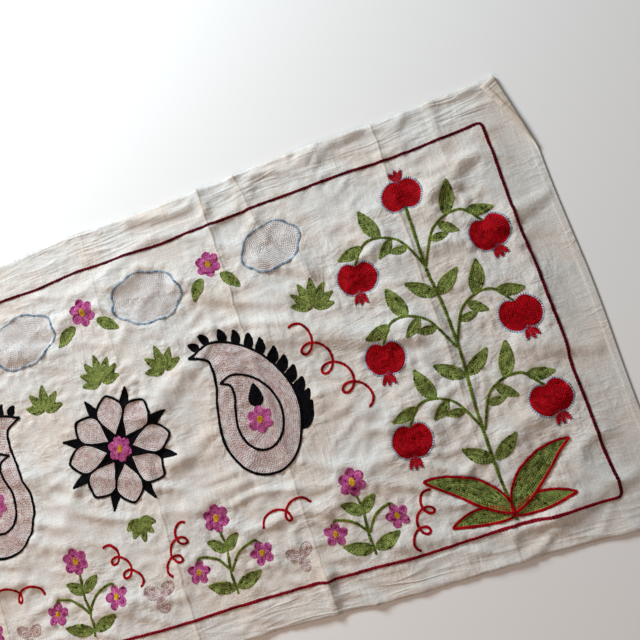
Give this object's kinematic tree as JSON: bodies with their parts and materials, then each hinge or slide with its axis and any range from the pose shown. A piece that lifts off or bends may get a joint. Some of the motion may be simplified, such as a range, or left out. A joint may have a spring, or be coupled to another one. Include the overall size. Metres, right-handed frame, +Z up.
{
  "type": "suzani embroidered textile",
  "caption": "Rectangular hemmed cotton cloth with chain-stitched plant motifs inside a stitched border line, lying softly rumpled with one corner turned over.",
  "frame": {"origin": "on the surface that the cloth lies on, under the middle of its outline", "axes": "+X along the cloth, +Y across it towards the edge with the turned corner, +Z up out of its embroidered face"},
  "size_m": [1.08, 0.49, 0.0088],
  "materials": {
    "cotton_ground": "plain-woven cream cotton, matt, with chain-stitch embroidery on its face"
  },
  "bodies": {
    "root": {"suzani_cloth": "cotton_ground"}
  },
  "joints": []
}
